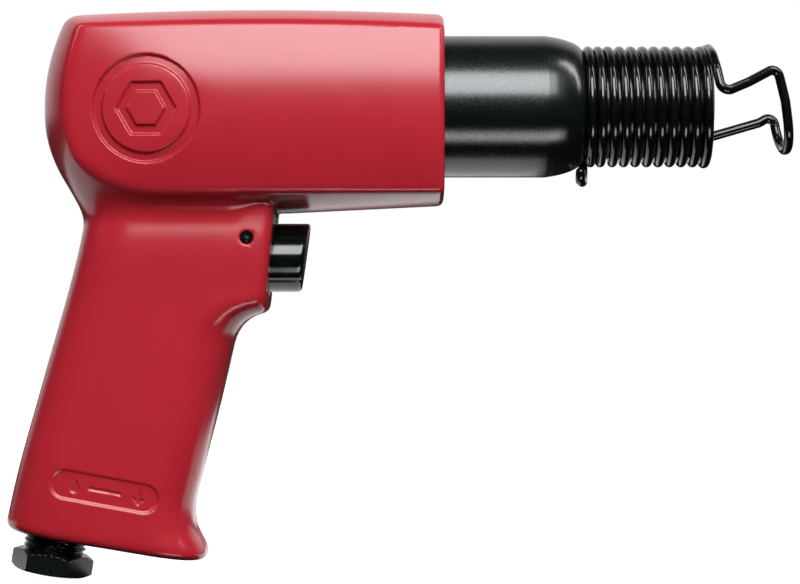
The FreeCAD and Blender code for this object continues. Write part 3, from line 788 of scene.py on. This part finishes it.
def make_throttle_spring(material):
    """The throttle's return spring as a fixed helix of wire; the real one is pressed together as the valve
    moves back.
    """
    turn = 2 * math.pi * np.linspace(0, SPRING_TURNS, SPRING_TURNS * 48 + 1)
    x = np.linspace(SPRING_LOW.x + SPRING_WIRE_R, SPRING_HIGH.x - SPRING_WIRE_R, len(turn))
    radius = SPRING_HIGH.y - SPRING_WIRE_R
    path = np.stack([x, radius * np.sin(turn), THROTTLE_Z + radius * np.cos(turn)], 1)
    piece = tube("throttle_return_spring", path, SPRING_WIRE_R, material, sides=12)
    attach(piece, frame["nodes"]["throttle_spring"]["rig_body"])
    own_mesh(piece)
    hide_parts("throttle_spring")


# --- materials -----------------------------------------------------------------------------------

class Nodes:
    """Short names for adding linked shader nodes to one material."""

    def __init__(self, name):
        self.material = bpy.data.materials.new(name)
        self.material.use_nodes = True
        self.tree = self.material.node_tree
        self.shader = self.tree.nodes["Principled BSDF"]
        self.place = self.add("ShaderNodeTexCoord").outputs["Object"]

    def add(self, kind, **values):
        node = self.tree.nodes.new(kind)
        for key, value in values.items():
            setattr(node, key, value)
        return node

    def link(self, start, end):
        self.tree.links.new(start, end)

    def scaled(self, scale):
        """Object coordinates stretched by a scale for each axis."""
        node = self.add("ShaderNodeMapping")
        node.inputs["Scale"].default_value = scale
        self.link(self.place, node.inputs["Vector"])
        return node.outputs["Vector"]

    def noise(self, scale, detail=3.0, roughness=0.5, stretch=None):
        node = self.add("ShaderNodeTexNoise")
        node.inputs["Scale"].default_value = scale
        node.inputs["Detail"].default_value = detail
        node.inputs["Roughness"].default_value = roughness
        self.link(self.scaled(stretch) if stretch else self.place, node.inputs["Vector"])
        return node.outputs["Fac"]

    def spread(self, factor, low, high):
        """A factor stretched from low to high."""
        node = self.add("ShaderNodeMapRange")
        node.inputs["From Min"].default_value = 0.3
        node.inputs["From Max"].default_value = 0.7
        node.inputs["To Min"].default_value = low
        node.inputs["To Max"].default_value = high
        self.link(factor, node.inputs["Value"])
        return node.outputs["Result"]

    def colours(self, factor, dark, light):
        node = self.add("ShaderNodeValToRGB")
        node.color_ramp.elements[0].position = 0.3
        node.color_ramp.elements[0].color = (*dark, 1)
        node.color_ramp.elements[1].position = 0.7
        node.color_ramp.elements[1].color = (*light, 1)
        self.link(factor, node.inputs["Fac"])
        self.link(node.outputs["Color"], self.shader.inputs["Base Color"])

    def bump(self, height, distance):
        node = self.add("ShaderNodeBump")
        node.inputs["Strength"].default_value = 1.0
        node.inputs["Distance"].default_value = distance
        self.link(height, node.inputs["Height"])
        self.link(node.outputs["Normal"], self.shader.inputs["Normal"])

    def set(self, **values):
        """Constants set on the shader's own sockets."""
        for key, value in values.items():
            self.shader.inputs[key.replace("_", " ")].default_value = value


def surface(name, dark, light, patch, rough, grain, depth, metallic=0.0, stretch=None, **more):
    """A material whose colour, roughness and bump vary: patch and grain are noise scales per metre."""
    nodes = Nodes(name)
    nodes.set(Metallic=metallic, **more)
    nodes.colours(nodes.noise(patch, 4.0), dark, light)
    fine = nodes.noise(grain, 3.0, 0.6, stretch)
    nodes.link(nodes.spread(fine, *rough), nodes.shader.inputs["Roughness"])
    nodes.bump(fine, depth)
    return nodes.material


# In metres, like the coordinates that the shader reads.
BARREL_TAPER_X = (-0.0446, -0.0442)
TAPER_SMOOTHER = -0.02


def black_oxide_steel():
    """Blackened steel with a sandy grain; the barrel's taper and nose are smoother than the rest."""
    nodes = Nodes("black_oxide_steel")
    nodes.set(Specular_IOR_Level=0.6)
    nodes.colours(nodes.noise(90, 4.0), (0.0012, 0.0021, 0.0024), (0.0022, 0.0034, 0.0038))
    grain = nodes.noise(1700, 2.0, 0.6)
    place = nodes.add("ShaderNodeSeparateXYZ")
    nodes.link(nodes.place, place.inputs["Vector"])
    taper = nodes.add("ShaderNodeMapRange")
    taper.inputs["From Min"].default_value = BARREL_TAPER_X[0]
    taper.inputs["From Max"].default_value = BARREL_TAPER_X[1]
    taper.inputs["To Min"].default_value = 0.0
    taper.inputs["To Max"].default_value = TAPER_SMOOTHER
    nodes.link(place.outputs["X"], taper.inputs["Value"])
    rough = nodes.add("ShaderNodeMath")
    nodes.link(nodes.spread(grain, 0.21, 0.29), rough.inputs[0])
    nodes.link(taper.outputs["Result"], rough.inputs[1])
    nodes.link(rough.outputs["Value"], nodes.shader.inputs["Roughness"])
    nodes.bump(grain, 0.000008)
    return nodes.material


def linear(red, green, blue):
    """Display values from 0 to 255 as the linear colour that a shader takes."""
    return tuple((c / 255 / 12.92) if c < 11 else ((c / 255 + 0.055) / 1.055) ** 2.4
                 for c in (red, green, blue))


def make_materials():
    """One material for each slot of the record."""
    return {
        "red_paint": surface(
            "red_paint", (0.275, 0.0104, 0.0174), (0.300, 0.0120, 0.0204), 60, (0.20, 0.25), 900, 0.000008,
            Specular_IOR_Level=0.42),
        "black_oxide_steel": black_oxide_steel(),
        "dark_spring_steel": surface(
            "dark_spring_steel", (0.001, 0.0013, 0.0014), (0.0024, 0.0028, 0.003), 300, (0.12, 0.18), 1500,
            0.000004),
        "black_gloss_plastic": surface(
            "black_gloss_plastic", (0.0012, 0.002, 0.0018), (0.002, 0.0032, 0.003), 200, (0.13, 0.18), 1800,
            0.000004),
        "hardened_steel": surface(
            "hardened_steel", linear(140, 140, 142), linear(175, 174, 172), 250, (0.2, 0.34), 1200,
            0.000004, metallic=1.0, stretch=(20, 1, 1)),
        "turned_brass": surface(
            "turned_brass", linear(190, 150, 80), linear(214, 178, 106), 220, (0.22, 0.36), 1400, 0.000004,
            metallic=1.0, stretch=(20, 1, 1)),
        "screen_steel": surface(
            "screen_steel", linear(130, 132, 134), linear(165, 166, 168), 300, (0.3, 0.45), 1600, 0.000005,
            metallic=1.0),
        "seal_rubber": surface(
            "seal_rubber", linear(22, 22, 22), linear(34, 34, 34), 400, (0.55, 0.7), 2500, 0.00001),
        "cushion_urethane": surface(
            "cushion_urethane", linear(196, 140, 60), linear(214, 160, 80), 200, (0.35, 0.5), 1500, 0.00001),
        "grey_felt": surface(
            "grey_felt", linear(96, 94, 90), linear(140, 137, 130), 900, (0.85, 1.0), 5000, 0.0002,
            Sheen_Weight=0.4),
    }


def dress_cad_nodes(materials):
    """Gives every CAD node the material of its record slot."""
    for node in frame["nodes"].values():
        for index, old in enumerate(node.data.materials):
            node.data.materials[index] = materials[old.name.split(".")[0]]


# --- light, floor and camera ---------------------------------------------------------------------

COOL_WHITE = (0.95, 0.985, 1.0)
LOW_WHITE = (0.98, 1.0, 0.96)


def softbox(name, azimuth, elevation, distance, width, height, power, colour=(1, 1, 1), aside=0.0):
    """An area light that faces the middle of the object; azimuth 0 is the camera's side."""
    middle = (cad_box[0] + cad_box[1]) / 2
    a = math.radians(azimuth)
    e = math.radians(elevation)
    away = Vector((math.sin(a) * math.cos(e), -math.cos(a) * math.cos(e), math.sin(e)))
    data = bpy.data.lights.new(name, "AREA")
    data.shape = "RECTANGLE"
    data.size = width
    data.size_y = height
    data.energy = power
    data.color = colour
    light = bpy.data.objects.new(name, data)
    light.location = middle + away * distance + Vector((aside, 0, 0))
    light.rotation_mode = "QUATERNION"
    light.rotation_quaternion = away.to_track_quat("Z", "Y")
    bpy.context.collection.objects.link(light)
    return light


# From Min, From Max, To Min and To Max of how bright reflections see the world, by direction. A To Max
# of 0 is replaced by the result of the row before it.
ASIDE_RANGE = (0.7, 0.95, 0.9, 0.02)
BEHIND_RANGE = (0.33, 0.6, 0.02, 0.0)
ABOVE_RANGE = (0.0, 0.08, 0.02, 0.0)


def make_world():
    """White to the camera; as light and in reflections, a bright patch behind the object, dim elsewhere."""
    world = bpy.data.worlds.new("studio")
    bpy.context.scene.world = world
    world.use_nodes = True
    tree = world.node_tree
    background = tree.nodes["Background"]
    place = tree.nodes.new("ShaderNodeTexCoord")
    parts = tree.nodes.new("ShaderNodeSeparateXYZ")
    aside = tree.nodes.new("ShaderNodeMath")
    aside.operation = "ABSOLUTE"
    width = tree.nodes.new("ShaderNodeMapRange")
    depth = tree.nodes.new("ShaderNodeMapRange")
    height = tree.nodes.new("ShaderNodeMapRange")
    for node, values in ((width, ASIDE_RANGE), (depth, BEHIND_RANGE), (height, ABOVE_RANGE)):
        for name, value in zip(("From Min", "From Max", "To Min", "To Max"), values):
            node.inputs[name].default_value = value
    path = tree.nodes.new("ShaderNodeLightPath")
    seen = tree.nodes.new("ShaderNodeMapRange")
    seen.inputs["To Max"].default_value = 1.0
    tree.links.new(place.outputs["Generated"], parts.inputs["Vector"])
    tree.links.new(parts.outputs["X"], aside.inputs[0])
    tree.links.new(aside.outputs["Value"], width.inputs["Value"])
    tree.links.new(parts.outputs["Y"], depth.inputs["Value"])
    tree.links.new(parts.outputs["Z"], height.inputs["Value"])
    tree.links.new(width.outputs["Result"], depth.inputs["To Max"])
    tree.links.new(depth.outputs["Result"], height.inputs["To Max"])
    tree.links.new(path.outputs["Is Camera Ray"], seen.inputs["Value"])
    tree.links.new(height.outputs["Result"], seen.inputs["To Min"])
    tree.links.new(seen.outputs["Result"], background.inputs["Strength"])
    background.inputs["Color"].default_value = (1, 1, 1, 1)


FLOOR_GAP = 0.0005
# Left, right, near and far edges of the boards that make up the floor.
FLOOR_BOARDS = {
    "floor_front": (-0.9, 0.7, -0.8, 0.0),
    "floor_middle": (-0.9, -0.03, 0.0, 0.3),
    "floor_right": (-0.03, 0.7, 0.0, 0.3),
    "floor_rear": (-0.9, 0.7, 0.3, 1.5),
}


def make_floor():
    """A pale floor; only the board behind the object and to its left lights it and shows in reflections."""
    paper = surface("floor_paper", (0.24, 0.24, 0.24), (0.26, 0.26, 0.26), 3, (0.8, 0.9), 40, 0.00002,
                    Emission_Color=(1, 1, 1, 1), Emission_Strength=0.95)
    z = cad_box[0].z - FLOOR_GAP
    for name, (left, right, near, far) in FLOOR_BOARDS.items():
        corners = [(left, near, z), (right, near, z), (right, far, z), (left, far, z)]
        mesh = bpy.data.meshes.new(name)
        mesh.from_pydata(corners, [], [(0, 1, 2, 3)])
        mesh.materials.append(paper)
        floor = bpy.data.objects.new(name, mesh)
        floor.visible_glossy = name == "floor_middle"
        floor.visible_diffuse = name == "floor_middle"
        bpy.context.collection.objects.link(floor)


def make_studio():
    """A key light, two fills that reflections don't see, a low reflector and a light at each side."""
    make_world()
    make_floor()
    softbox("key_front", 4, 36, 1.3, 0.85, 0.84, 27, COOL_WHITE)
    fill_front = softbox("fill_front", 28, 36, 1.3, 0.4, 0.84, 9, COOL_WHITE)
    fill_rear = softbox("fill_rear", 180, 30, 1.3, 1.0, 0.84, 22, COOL_WHITE)
    for light in (fill_front, fill_rear):
        light.visible_glossy = False
    softbox("reflector_low", 4, -51.5, 0.9, 0.6, 0.24, 3.15, LOW_WHITE, aside=0.19)
    softbox("side_right", 68, 44, 1.2, 0.16, 0.9, 6)
    softbox("side_left", -68, 44, 1.2, 0.16, 0.9, 3)
    bpy.context.scene.view_settings.view_transform = "Standard"


materials = make_materials()
make_camera()
make_studio()
dress_cad_nodes(materials)
make_housing(materials["red_paint"])
make_barrel(materials["black_oxide_steel"])
make_trigger(materials["black_gloss_plastic"])
make_inlet(materials["black_oxide_steel"])
make_retainer(materials["dark_spring_steel"])
make_throttle_spring(materials["dark_spring_steel"])
